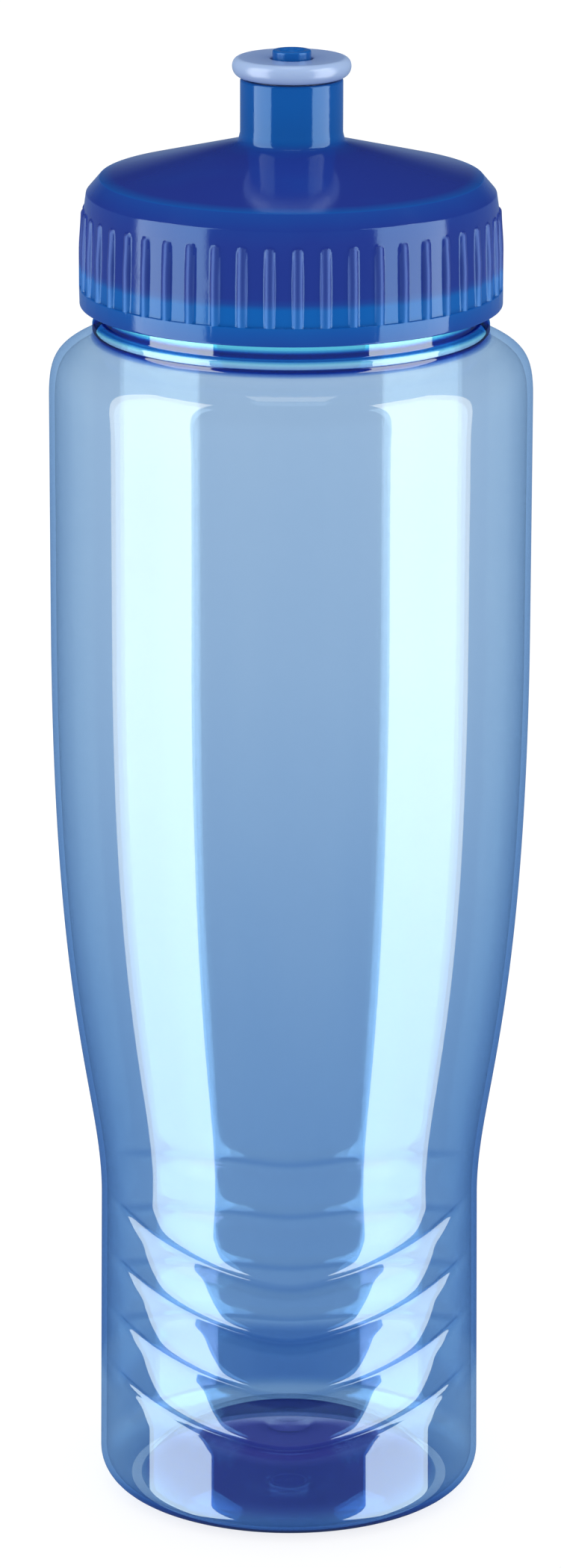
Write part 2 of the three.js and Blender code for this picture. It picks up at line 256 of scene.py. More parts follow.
def turned(name, outline, angles, shape=None, values=None, closed=False):
    """Turns an outline, listed anticlockwise, about +Z. An open outline starts and ends on the axis.

    shape(angle, radius, height) returns the moved radius and height of every point of the grid.
    values(angle, radius, height) returns named numbers for every point, for the material to read.
    """
    rows = outline if closed else outline[1:-1]
    around = np.broadcast_to(angles, (len(rows), len(angles)))
    radius = np.repeat(rows[:, :1], len(angles), axis=1)
    height = np.repeat(rows[:, 1:], len(angles), axis=1)
    numbers = values(around, radius, height) if values else {}
    if shape:
        radius, height = shape(around, radius, height)
    grid = np.stack((radius * np.cos(around), radius * np.sin(around), height), axis=-1)
    points = grid.reshape(-1, 3)
    ids = np.arange(points.shape[0]).reshape(len(rows), len(angles))
    lower = ids if closed else ids[:-1]
    upper = np.roll(ids, -1, axis=0) if closed else ids[1:]
    quads = np.stack((lower, np.roll(lower, -1, 1), np.roll(upper, -1, 1), upper), axis=-1)
    faces = quads.reshape(-1, 4).tolist()
    if not closed:
        poles = np.array([(0, 0, outline[0][1]), (0, 0, outline[-1][1])])
        points = np.vstack((points, poles))
        first, last = len(points) - 2, len(points) - 1
        for one, two in zip(ids[0], np.roll(ids[0], -1)):
            faces.append((int(two), int(one), first))
        for one, two in zip(ids[-1], np.roll(ids[-1], -1)):
            faces.append((int(one), int(two), last))
    piece = mesh_object(name, points, faces)
    for key, grid_values in numbers.items():
        flat = grid_values.ravel()
        if not closed:
            flat = np.concatenate((flat, [flat[0], flat[-1]]))
        write_values(piece, key, flat)
    return piece


def mesh_object(name, points, faces):
    mesh = bpy.data.meshes.new(name)
    mesh.from_pydata((points * MM).tolist(), [], faces)
    mesh.validate()
    mesh.polygons.foreach_set("use_smooth", [True] * len(mesh.polygons))
    piece = bpy.data.objects.new(name, mesh)
    bpy.context.scene.collection.objects.link(piece)
    return piece


def positions(piece):
    """The piece's points in millimetres."""
    flat = np.empty(len(piece.data.vertices) * 3)
    piece.data.vertices.foreach_get("co", flat)
    return flat.reshape(-1, 3) / MM


def write_values(piece, name, values):
    """Stores one number for each point of the mesh, for its material to read."""
    attribute = piece.data.attributes.new(name, "FLOAT", "POINT")
    attribute.data.foreach_set("value", values.astype(np.float32))


def even_angles(count):
    return np.arange(count) * 2 * math.pi / count


def thread_rise(angle, height, start, depth):
    """How far a screw thread stands out at each angle and height."""
    rise = np.zeros_like(height)
    for lap in (0, 1):
        turn = np.mod(angle, 2 * math.pi) / (2 * math.pi) + lap
        away = np.abs(height - (start + turn * THREAD_PITCH))
        flank = 1 - smoothstep(away, THREAD_CREST_WIDTH / 2, THREAD_ROOT_WIDTH / 2)
        share = turn / THREAD_TURNS
        fade = smoothstep(np.minimum(share, 1 - share), 0, THREAD_END)
        rise = np.maximum(rise, depth * flank * fade)
    return rise


# ---- shader graphs ---------------------------------------------------------------------------

PLASTIC_IOR = 1.5


class Graph:
    """A material's nodes, made and joined by short calls."""

    def __init__(self, name):
        self.material = bpy.data.materials.new(name)
        self.material.use_nodes = True
        self.tree = self.material.node_tree
        self.tree.nodes.clear()

    def node(self, kind, inputs=None, **settings):
        """A new node; an input is a plain value or another node's output."""
        node = self.tree.nodes.new(kind)
        for key, value in settings.items():
            setattr(node, key, value)
        for key, value in (inputs or {}).items():
            if isinstance(value, bpy.types.NodeSocket):
                self.tree.links.new(value, node.inputs[key])
            else:
                node.inputs[key].default_value = value
        return node

    def math(self, operation, first, second=0.0, third=0.0):
        inputs = {0: first, 1: second, 2: third}
        return self.node("ShaderNodeMath", inputs, operation=operation).outputs[0]

    def attribute(self, name):
        return self.node("ShaderNodeAttribute", attribute_name=name).outputs["Fac"]

    def place(self, stretch=(1, 1, 1)):
        """The point's place on the piece, in metres, stretched."""
        spot = self.node("ShaderNodeTexCoord").outputs["Object"]
        return self.node("ShaderNodeMapping", {"Vector": spot, "Scale": stretch}).outputs[0]

    def noise(self, scale, stretch=(1, 1, 1), detail=2.0):
        inputs = {"Vector": self.place(stretch), "Scale": scale, "Detail": detail}
        return self.node("ShaderNodeTexNoise", inputs).outputs[0]

    def spread(self, value, low, high):
        """Maps 0 to 1 onto low to high."""
        inputs = {"Value": value, "To Min": low, "To Max": high}
        return self.node("ShaderNodeMapRange", inputs).outputs[0]

    def blend(self, share, first, second):
        """One colour passing into another; inputs 6 and 7 and output 2 are the colour ones."""
        inputs = {0: share, 6: first, 7: second}
        return self.node("ShaderNodeMix", inputs, data_type="RGBA").outputs[2]

    def bump(self, height, strength, distance):
        inputs = {"Height": height, "Strength": strength, "Distance": distance}
        return self.node("ShaderNodeBump", inputs).outputs[0]

    def finish(self, shader):
        output = self.node("ShaderNodeOutputMaterial")
        self.tree.links.new(shader, output.inputs["Surface"])
        return self.material


# ---- bottle ----------------------------------------------------------------------------------

# Spacing of the mesh's rows on the grip, on the wall's inside, on the plain wall, along the threads
# and down the neck's bore; its columns; and the steps of its curves
GROOVE_ROW = 0.35
INNER_ROW = 1
PLAIN_ROW = 2.5
THREAD_ROW = 0.4
BORE_ROW = 6
BOTTLE_COLUMNS = 192
CURVE_STEPS = 18
INNER_CURVE_STEPS = 13
CORNER_STEPS = 12
INNER_CORNER_STEPS = 8
TAPER_STEPS = 400

bottom_groove = TOP_GROOVE - (GROOVES - 1) * GROOVE_PITCH
top_end = TOP_GROOVE + TOP_SAG
bottom_end = bottom_groove + BOTTOM_SAG
end_pitch = (top_end - bottom_end) / (GROOVES - 1)
grip_top = top_end + end_pitch

taper = bezier(
    (WAIST_RADIUS, TAPER_BOTTOM),
    (WAIST_RADIUS, TAPER_BOTTOM + TAPER_LOW_HANDLE),
    (BODY_RADIUS, TAPER_TOP - TAPER_HIGH_HANDLE),
    (BODY_RADIUS, TAPER_TOP),
    TAPER_STEPS,
)


def body_radius(height):
    """The outside radius of the wall at each height."""
    heights = np.concatenate(([FOOT_CORNER], taper[:, 1]))
    radii = np.concatenate(([FOOT_RADIUS], taper[:, 0]))
    return np.interp(height, heights, radii)


def sag_of(height):
    """How far a line that starts at this height at the bottle's sides sags at its front."""
    heights = (SAG_FLOOR, bottom_end, top_end, SAG_CEILING)
    return np.interp(height, heights, (0, BOTTOM_SAG, TOP_SAG, 0))


def smile(angle):
    """0 in the middle of the front or back, 1 where the grooves run out at the sides."""
    reach = math.hypot(GROOVE_END, SMILE_ROUNDING) - SMILE_ROUNDING
    return (np.hypot(np.minimum(angle, GROOVE_END), SMILE_ROUNDING) - SMILE_ROUNDING) / reach


def from_groove(height):
    """How far this height at the sides is from the nearest groove."""
    nearest = np.clip(np.round((top_end - height) / end_pitch), 0, GROOVES - 1)
    return np.abs(height - (top_end - nearest * end_pitch))


def dent_of(height):
    """How deep the grip is pressed in at this height at the sides."""
    away = from_groove(height)
    pillow = PILLOW_RISE * np.maximum(0, 1 - away / (end_pitch / 2)) ** 2
    return pillow + GROOVE_DEPTH * bell(away, 0, GROOVE_WIDTH)


def off_front(angle):
    """How far this angle is from the middle of the front or the back, whichever is nearer."""
    return np.arctan2(np.abs(np.cos(angle)), np.abs(np.sin(angle)))


def press_share(angle):
    """How fully the grip is pressed in at this angle: wholly at the front and back, not at the sides."""
    return smoothstep(GROOVE_END - off_front(angle), 0, GROOVE_END - GROOVE_FULL)


def press_bottle(angle, radius, height):
    """Bends the level rows into smiles, presses the grooves in and raises the neck's thread."""
    in_grip = (radius > RING_INNER + FOOT_CORNER / 2) & (height > SAG_FLOOR) & (height < SAG_CEILING)
    bent = height - sag_of(height) * (1 - smile(off_front(angle)))
    moved = radius + body_radius(bent) - body_radius(height) - dent_of(height) * press_share(angle)
    rise = thread_rise(angle, height, NECK_THREAD_START, NECK_THREAD_CREST - NECK_RADIUS)
    on_neck = (np.abs(radius - NECK_RADIUS) < NECK_EDGE / 2) & (height > BEAD_TOP)
    radius = np.where(in_grip, moved, np.where(on_neck, radius + rise, radius))
    return radius, np.where(in_grip, bent, height)


def shoulder(inset, steps):
    """The shoulder's outline, moved inwards by the inset."""
    return bezier(
        (BODY_RADIUS - inset, SHOULDER_BOTTOM - inset),
        (BODY_RADIUS - inset, SHOULDER_BROW - inset),
        (SHOULDER_TURN - inset, SHOULDER_BROW - inset),
        (NECK_FOOT - inset, SHOULDER_TOP - inset),
        steps,
    )


def push_up(lift, steps):
    """The outline of the hollow under the base, from its gate to its ring, lifted."""
    return bezier(
        (GATE_RADIUS, PUSH_UP_HEIGHT + lift),
        (PUSH_UP_BROW, PUSH_UP_HEIGHT + lift),
        (PUSH_UP_HEEL, PUSH_UP_HEIGHT / 2 + lift),
        (RING_INNER, lift),
        steps,
    )


def wall_rows(inset, fine_row):
    """The wall's (radius, height) rows from the foot to the shoulder."""
    grip = spaced(FOOT_CORNER, grip_top, fine_row)
    plain = spaced(grip_top, SHOULDER_BOTTOM - inset, PLAIN_ROW)
    heights = np.concatenate((grip, plain[1:]))[1:-1]
    return np.column_stack((body_radius(heights) - inset, heights))


def bottle_outline():
    foot_centre = (FOOT_RADIUS - FOOT_CORNER, FOOT_CORNER)
    gate_floor = PUSH_UP_HEIGHT - GATE_DEPTH
    under = rounded([
        (0, gate_floor),
        (GATE_RADIUS - GATE_STEP, gate_floor, GATE_DEPTH),
        *push_up(0, CURVE_STEPS)[:-1],
        (RING_INNER, 0, HEEL_EDGE),
        (FOOT_RADIUS - FOOT_CORNER, 0),
    ])
    neck = rounded([
        (NECK_FOOT, SHOULDER_TOP),
        (NECK_FOOT, BEAD_BOTTOM, SOFT),
        (BEAD_RADIUS, BEAD_BOTTOM, NECK_EDGE),
        (BEAD_RADIUS, BEAD_TOP, NECK_EDGE),
        (NECK_RADIUS, BEAD_TOP, NECK_EDGE),
        (NECK_RADIUS, BEAD_TOP + 2 * NECK_EDGE),
    ])
    thread_heights = spaced(BEAD_TOP + 3 * NECK_EDGE, NECK_TOP - 2 * NECK_EDGE, THREAD_ROW)
    mouth = rounded([
        (NECK_RADIUS, NECK_TOP - 1.5 * NECK_EDGE),
        (NECK_RADIUS, NECK_TOP, NECK_EDGE),
        (NECK_BORE, NECK_TOP, NECK_EDGE),
        (NECK_BORE, NECK_TOP - 2 * NECK_EDGE),
    ])
    bore_heights = spaced(NECK_TOP - BORE_ROW, SHOULDER_TOP, BORE_ROW)
    gate_centre = (GATE_RADIUS - GATE_STEP, PUSH_UP_HEIGHT + WALL)
    return np.vstack((
        under,
        arc(foot_centre, FOOT_CORNER, -90, 0, CORNER_STEPS)[1:],
        wall_rows(0, GROOVE_ROW),
        shoulder(0, CURVE_STEPS),
        neck[1:],
        np.column_stack((np.full(len(thread_heights), NECK_RADIUS), thread_heights)),
        mouth,
        np.column_stack((np.full(len(bore_heights), NECK_BORE), bore_heights)),
        shoulder(WALL, INNER_CURVE_STEPS)[::-1],
        wall_rows(WALL, INNER_ROW)[::-1],
        arc(foot_centre, FOOT_CORNER - WALL, 0, -90, INNER_CORNER_STEPS),
        push_up(WALL, INNER_CURVE_STEPS)[::-1],
        arc(gate_centre, GATE_RIDGE, GATE_RIDGE_START, GATE_RIDGE_END, GATE_RIDGE_STEPS),
        [(0, gate_centre[1] - GATE_DIP)],
    ))


# How much the wall dims light, as (height, load) steps: it is darker towards the bottom. All of it is
# counted on the outside face, and the inside face only mirrors.
WALL_LOADS = (
    (0, 3.1),
    (30, 3.1),
    (52, 3.14),
    (74, 2.84),
    (98, 2.4),
    (123, 2.04),
    (147, 1.84),
    (170, 1.76),
    (188, 1.6),
    (190.5, 1.2),
    (196, 1.2),
    (198, 2.0),
)
# Painted shade: an extra load darkens a thin line along each groove's crease.
CREASE_PAINTED_SHADE = 1.2
CREASE_HALF_WIDTH = 0.5

# Painted shade: the foot is darker at the front and back than at its sides, and its lowest corner is
# darker, most at the front. The front half of the foot's corner and of the base is darker than the back
# half.
FOOT_ZONE_BOTTOM = 18
FOOT_ZONE_TOP = 22
FOOT_SIDE_LOAD = 1.8
FOOT_FRONT_SHADE_LOAD = 6.4
CORNER_BACK_LOAD = 2.0
CORNER_SIDE_SHADE = 0.8
CORNER_FRONT_SHADE = 6.5
HEEL_LOAD = 2.4
HEEL_REACH = 1
FRONT_BLEND = 0.3
BASE_BACK_SHARE = 0.3

# Loads of the base, the neck and the dark lines beside the bead, for red, green and blue light; the
# dark lines are painted shade. The lines are given as (height, half width).
# Painted shade: the base's load is partly its thick plastic and partly painted shade of the floor under
# it.
BASE_LOAD_AND_SHADE = (6.2, 10.6, 9.2)
NECK_LOAD = (5.2, 1.1, 1.0)
COLLAR_PAINTED_SHADE = (22.0, 25.0, 21.0)
COLLAR_SHADE_LINES = (
    (BEAD_BOTTOM - 0.35, 0.4),
    (BEAD_TOP + 0.6, 0.5),
)
NECK_TINT_BOTTOM = (BEAD_BOTTOM, BEAD_TOP + 0.6)
NECK_TINT_TOP = (RIM_BOTTOM + 0.8, RIM_BOTTOM + 2.5)

# How deep the plastic's sheen looks, as (height, depth) steps: warm on the upper wall, greener
# and stronger at the foot and on the neck
DEEPNESS = (
    (8, 1.0),
    (45, 0.6),
    (170, 0.0),
    (189, 0.0),
    (190.5, 0.8),
)


def front_share(angle):
    """1 in the front half of the bottle, 0 in the back half."""
    return smoothstep(-np.sin(angle), -FRONT_BLEND, FRONT_BLEND)


def foot_load_and_shade(angle, height, wall):
    """The wall's load with the foot's and its corner's painted shade worked in."""
    forward = np.sin(angle) ** 2
    front = front_share(angle)
    foot = FOOT_SIDE_LOAD + (FOOT_FRONT_SHADE_LOAD - FOOT_SIDE_LOAD) * forward
    load = wall + (foot - wall) * (1 - smoothstep(height, FOOT_ZONE_BOTTOM, FOOT_ZONE_TOP))
    back_corner = (1 - front) * (1 - smoothstep(height, FOOT_CORNER / 2, FOOT_CORNER))
    load = load + (CORNER_BACK_LOAD - load) * back_corner
    extra = CORNER_SIDE_SHADE + (CORNER_FRONT_SHADE - CORNER_SIDE_SHADE) * forward * front
    return load + extra * bell(height, 0, FOOT_CORNER / 2)


def bottle_loads(angle, radius, height):
    """How much plastic and painted shade dim the red, green and blue light at each point, and its
    sheen's depth.
    """
    wall = foot_load_and_shade(angle, height, np.interp(height, *zip(*WALL_LOADS)))
    near_floor = height < 2 * FOOT_CORNER
    wall = np.where((radius < RING_INNER + HEEL_REACH) & near_floor, HEEL_LOAD, wall)
    wall = wall + CREASE_PAINTED_SHADE * press_share(angle) * bell(from_groove(height), 0, CREASE_HALF_WIDTH)

    in_base = (1 - smoothstep(radius, PUSH_UP_HEEL, RING_INNER)) * near_floor
    # Painted shade: the front half of the base is darker than the back half.
    base_share = BASE_BACK_SHARE + (1 - BASE_BACK_SHARE) * front_share(angle)
    on_neck = smoothstep(height, *NECK_TINT_BOTTOM) * (1 - smoothstep(height, *NECK_TINT_TOP))
    collar_shade = sum(bell(height, middle, half_width) for middle, half_width in COLLAR_SHADE_LINES)
    outside = np.arange(height.shape[0])[:, None] <= np.argmax(height[:, 0])
    loads = {"deep": np.interp(height, *zip(*DEEPNESS))}
    for channel, base, neck, ring in zip("rgb", BASE_LOAD_AND_SHADE, NECK_LOAD, COLLAR_PAINTED_SHADE):
        load = wall + (base * base_share - wall) * in_base
        load = load + (neck - load) * on_neck
        loads["load_" + channel] = (load + ring * collar_shade) * outside
    return loads


# The tint of one load of plastic for red, green and blue light, and how much the wall mirrors:
# head-on, where it looks deep, and towards its outline
PET_TINT = (0.727, 0.823, 0.921)
PET_MIRROR_HEAD_ON = 0.05
PET_MIRROR_DEEP = 0.04
PET_MIRROR_RISE = 0.22
PET_MIRROR_SHARPNESS = 5.0
PET_SHEEN = (1.0, 0.93, 0.72, 1)
PET_DEEP_SHEEN = (0.84, 0.98, 0.96, 1)

# How much longer light's path through the wall is at the outline, and how near it that starts
PET_EDGE_PATH = 0.6
PET_EDGE_SHARPNESS = 8


def clear_blue_pet():
    """A clear blown wall: each of its two faces passes tinted light and mirrors more at a slant."""
    graph = Graph("clear_blue_pet_wall")
    facing = graph.node("ShaderNodeLayerWeight", {"Blend": 0.5}).outputs["Facing"]
    head_on = graph.math("SUBTRACT", 1.0, facing)
    slant = graph.math("SUBTRACT", 1.0, graph.math("MULTIPLY", head_on, head_on))
    edge = graph.math("POWER", slant, PET_EDGE_SHARPNESS)
    path = graph.math("MULTIPLY_ADD", edge, PET_EDGE_PATH, 1.0)
    streaks = graph.spread(graph.noise(scale=60, stretch=(1, 1, 0.12), detail=3), low=0.9, high=1.1)
    thickness = graph.math("MULTIPLY", path, streaks)
    channels = []
    for channel, clearness in zip("rgb", PET_TINT):
        depth = graph.math("MULTIPLY", graph.attribute("load_" + channel), thickness)
        channels.append(graph.math("POWER", clearness, depth))
    tint = graph.node("ShaderNodeCombineColor", dict(enumerate(channels))).outputs[0]
    through = graph.node("ShaderNodeBsdfTransparent", {"Color": tint}).outputs[0]

    waves = graph.noise(scale=45, stretch=(1, 1, 0.35), detail=1)
    ripple = graph.bump(waves, strength=0.12, distance=0.0006)
    roughness = graph.spread(graph.noise(scale=300, detail=3), low=0.02, high=0.05)
    deep = graph.attribute("deep")
    sheen = graph.blend(deep, PET_SHEEN, PET_DEEP_SHEEN)
    gloss_inputs = {"Color": sheen, "Roughness": roughness, "Normal": ripple}
    gloss = graph.node("ShaderNodeBsdfGlossy", gloss_inputs).outputs[0]
    head_on_mirror = graph.math("MULTIPLY_ADD", deep, PET_MIRROR_DEEP, PET_MIRROR_HEAD_ON)
    rise = graph.math("POWER", facing, PET_MIRROR_SHARPNESS)
    mirror = graph.math("MULTIPLY_ADD", rise, PET_MIRROR_RISE, head_on_mirror)
    mix = graph.node("ShaderNodeMixShader", {0: mirror, 1: through, 2: gloss})
    return graph.finish(mix.outputs[0])


def make_bottle():
    columns = even_angles(BOTTLE_COLUMNS)
    shell = turned("bottle_shell", bottle_outline(), columns, press_bottle, bottle_loads)
    shell.data.materials.append(clear_blue_pet())
    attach(shell, "bottle")
    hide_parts("bottle")


# ---- lid -------------------------------------------------------------------------------------

RIB_CREST = WALL_LOW_RADIUS + RIB_PROUD

# Columns of the mesh beside each rib's middle
RIB_STEPS = (0.45, 0.78, 0.9, 1.15)

# The rows are finer over each rib's domed top, and the ribs lean in towards it
RIB_DOME = 1.3
RIB_DOME_ROW = 0.125
RIB_LEAN = 0.35
RIB_LEAN_HEIGHT = 7
LID_WALL_ROW = 0.8
CORNER_ROUNDING = 0.4
FILLET_STEPS = 8
DOME_STEPS = 12


def lid_outline():
    fillet_low = (DOME_FOOT_RADIUS, DOME_FOOT_HEIGHT)
    fillet_bend = (TOWER_RADIUS + ROUND, DOME_FOOT_HEIGHT + TOWER_EDGE)
    fillet_high = (TOWER_RADIUS, TOWER_FILLET_TOP)
    fillet = bezier(fillet_low, fillet_bend, fillet_bend, fillet_high, FILLET_STEPS)
    rim = rounded([
        (LID_BORE, RIM_TOP),
        (LID_BORE, RIM_BOTTOM, ROUND),
        (RIM_RADIUS, RIM_BOTTOM, ROUND),
        (RIM_RADIUS, RIM_TOP, SOFT),
        (WALL_LOW_RADIUS, RIM_TOP, CRISP),
        (WALL_LOW_RADIUS, RIM_TOP + 2 * ROUND),
    ])[1:]
    heights = np.concatenate((
        spaced(RIM_TOP + 1, RIB_TOP - RIB_DOME - CRISP, LID_WALL_ROW),
        spaced(RIB_TOP - RIB_DOME, RIB_TOP + SOFT, RIB_DOME_ROW),
    ))
    share = (heights - RIM_TOP) / (WALL_TOP - RIM_TOP)
    wall = np.column_stack((WALL_LOW_RADIUS + (WALL_HIGH_RADIUS - WALL_LOW_RADIUS) * share, heights))
    top = rounded([
        (WALL_HIGH_RADIUS, WALL_TOP),
        (CORNER_RADIUS, CORNER_HEIGHT, CORNER_ROUNDING),
        (DOME_EDGE_RADIUS, DOME_EDGE_HEIGHT, ROUND),
        fillet_low,
    ])[1:-1]
    dome = np.linspace(top[-1], fillet_low, DOME_STEPS)[1:-1]
    tower = rounded([
        (TOWER_RADIUS, TOWER_FILLET_TOP + 1),
        (TOWER_RADIUS, TOWER_TOP, TOWER_EDGE),
        (CATCH_RADIUS, TOWER_TOP, SOFT),
        (CATCH_RADIUS, TOWER_TOP - CATCH_DEPTH, SOFT),
        (TOWER_BORE, TOWER_TOP - CATCH_DEPTH - TOWER_EDGE, CRISP),
        (TOWER_BORE, SLEEVE_BOTTOM, SOFT),
        (TOWER_RADIUS, SLEEVE_BOTTOM, SOFT),
        (TOWER_RADIUS + TOWER_EDGE, DOME_FOOT_HEIGHT - ROOF_THICKNESS, ROUND),
        (SEAT_INNER, DOME_EDGE_HEIGHT - ROOF_THICKNESS + ROOF_SAG, CORNER_ROUNDING),
        (SEAT_INNER, SEAT_HEIGHT, SOFT),
        (LID_BORE, SEAT_HEIGHT, SOFT),
        (LID_BORE, SEAT_HEIGHT - SEAT_LAND),
    ])
    bore_heights = spaced(SEAT_HEIGHT - SEAT_LAND - SOFT, RIM_BOTTOM + 2 * ROUND, THREAD_ROW)
    bore = np.column_stack((np.full(len(bore_heights), LID_BORE), bore_heights))
    return np.vstack((rim, wall, top, dome, fillet, tower, bore))


def lid_angles():
    """Columns around the lid, closer together over each rib."""
    pitch = 2 * math.pi / RIBS
    half = np.array(RIB_STEPS) / RIB_CREST
    offsets = np.concatenate((-half[::-1], [0], half, [pitch / 2]))
    centres = RIB_TURN + np.arange(RIBS) * pitch
    return (centres[:, None] + offsets[None, :]).ravel()


def rib_shape(angle, radius, height):
    """The radius of the wall with its ribs."""
    pitch = 2 * math.pi / RIBS
    off_rib = np.mod(angle - RIB_TURN + pitch / 2, pitch) - pitch / 2
    aside = off_rib * RIB_CREST
    crest = RIB_CREST - RIB_LEAN * smoothstep(height, RIB_TOP - RIB_LEAN_HEIGHT, RIB_TOP)
    dome_centre = RIB_TOP - RIB_RADIUS
    above = np.maximum(0, height - dome_centre)
    inside = RIB_RADIUS ** 2 - aside ** 2 - above ** 2
    proud = crest - RIB_RADIUS + np.sqrt(np.maximum(inside, 0))
    on_outside = radius > WALL_HIGH_RADIUS - CRISP
    on_wall = on_outside & (height > RIM_TOP - 2 * ROUND) & (height < RIB_TOP + ROUND)
    is_rib = on_wall & (inside > 0) & (proud > radius)
    return np.where(is_rib, proud, radius)


def press_lid(angle, radius, height):
    """Raises the ribs on the outside and the thread on the inside."""
    ribbed = rib_shape(angle, radius, height)
    start = NECK_THREAD_START - THREAD_PITCH / 2
    rise = thread_rise(angle, height, start, LID_BORE - LID_THREAD_CREST)
    in_bore = np.abs(radius - LID_BORE) < CRISP / 2
    return np.where(in_bore, radius - rise, ribbed), height


LID_INDIGO = (0.015, 0.034, 0.25, 1)
LID_LIT_AZURE = (0.004, 0.105, 0.41, 1)
LID_SHEEN = (0.42, 0.72, 0.95, 1)
GLOSS_ROUGHNESS = 0.09
SATIN_ROUGHNESS = 0.3
PIN_SATIN = 0.4

# Painted light: where the lid is painted lighter, as the heights it fades between, and by how much
BAND_FADE = (200.0, 201.2)
RIM_FADE = (RIM_TOP - 0.75, RIM_TOP + 0.25)
TOWER_FADE = (DOME_FOOT_HEIGHT - 0.6, DOME_FOOT_HEIGHT + 1.9)
RIM_PAINTED_LIGHT = 0.42
CORNER_PAINTED_LIGHT = 0.1
EDGE_PAINTED_HIGHLIGHT = 0.6
TOWER_PAINTED_LIGHT = 0.9
CORNER_HALF_WIDTH = 1.6
EDGE_HALF_WIDTH = 0.2


def lid_painted_light(points):
    """How much painted light each point of the lid gets: over the light neck and up the tower, standing
    in for light that gets through, and as painted highlights at its corner and dome edge.
    """
    across = np.hypot(points[:, 0], points[:, 1])
    height = points[:, 2]
    above_rim = RIM_PAINTED_LIGHT + (1 - RIM_PAINTED_LIGHT) * smoothstep(height, *RIM_FADE)
    band = (1 - smoothstep(height, *BAND_FADE)) * above_rim
    outside = across > DOME_EDGE_RADIUS - 2 * ROUND
    corner = CORNER_PAINTED_LIGHT * bell(height, CORNER_HEIGHT, CORNER_HALF_WIDTH) * outside
    edge = EDGE_PAINTED_HIGHLIGHT * bell(height, DOME_EDGE_HEIGHT, EDGE_HALF_WIDTH) * outside
    tower = TOWER_PAINTED_LIGHT * smoothstep(height, *TOWER_FADE)
    return np.clip(band + corner + edge + tower, 0, 1)


def deep_blue_polypropylene():
    """Deep blue moulded plastic: glossy, with satin ribs, and painted lighter where light gets through
    and along its edges.
    """
    graph = Graph("deep_blue_polypropylene_moulded")
    clouds = graph.spread(graph.noise(scale=90, detail=3), low=-0.12, high=0.12)
    # Painted light: the lid is blended towards azure where light would get through and along its edges.
    painted_light = graph.math("ADD", graph.attribute("painted_light"), clouds)
    colour = graph.blend(painted_light, LID_INDIGO, LID_LIT_AZURE)
    satin = graph.attribute("satin")
    smear = graph.spread(graph.noise(scale=400, detail=4), low=-0.02, high=0.04)
    sheen = graph.math("MULTIPLY_ADD", satin, SATIN_ROUGHNESS, GLOSS_ROUGHNESS)
    roughness = graph.math("ADD", sheen, smear)
    grain = graph.bump(graph.noise(scale=2500), strength=0.06, distance=0.0001)
    shader = graph.node("ShaderNodeBsdfPrincipled", {
        "Base Color": colour,
        "Roughness": roughness,
        "Normal": grain,
        "IOR": PLASTIC_IOR,
        "Specular Tint": LID_SHEEN,
    })
    return graph.finish(shader.outputs[0])


def make_lid():
    plastic = deep_blue_polypropylene()
    shell = turned("lid_shell", lid_outline(), lid_angles(), press_lid, closed=True)
    points = positions(shell)
    write_values(shell, "painted_light", lid_painted_light(points))
    across = np.hypot(points[:, 0], points[:, 1])
    wall = np.interp(points[:, 2], (RIM_TOP, WALL_TOP), (WALL_LOW_RADIUS, WALL_HIGH_RADIUS))
    on_rib = (points[:, 2] > RIM_TOP) & (points[:, 2] < RIB_TOP + CRISP) & (across > wall + CRISP)
    write_values(shell, "satin", on_rib.astype(float))
    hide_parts("lid")

    pin = turned("lid_centre_pin", rounded([
        (0, SLEEVE_BOTTOM),
        (PIN_RADIUS, SLEEVE_BOTTOM, PIN_EDGE),
        (PIN_RADIUS, PIN_TOP, PIN_EDGE),
        (PIN_DIMPLE_RADIUS + PIN_EDGE, PIN_TOP, PIN_EDGE),
        (PIN_DIMPLE_RADIUS, PIN_TOP - PIN_DIMPLE_DEPTH, PIN_EDGE),
        (0, PIN_TOP - PIN_DIMPLE_DEPTH),
    ]), even_angles(PIN_COLUMNS))
    # Painted light: the pin is painted lighter towards its top.
    write_values(pin, "painted_light", smoothstep(positions(pin)[:, 2], SLEEVE_BOTTOM, PIN_TOP))
    write_values(pin, "satin", np.full(len(pin.data.vertices), PIN_SATIN))

    spokes = lid_spokes()
    write_values(spokes, "painted_light", np.zeros(len(spokes.data.vertices)))
    write_values(spokes, "satin", np.full(len(spokes.data.vertices), PIN_SATIN))
    for piece in (shell, pin, spokes):
        piece.data.materials.append(plastic)
        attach(piece, "lid")


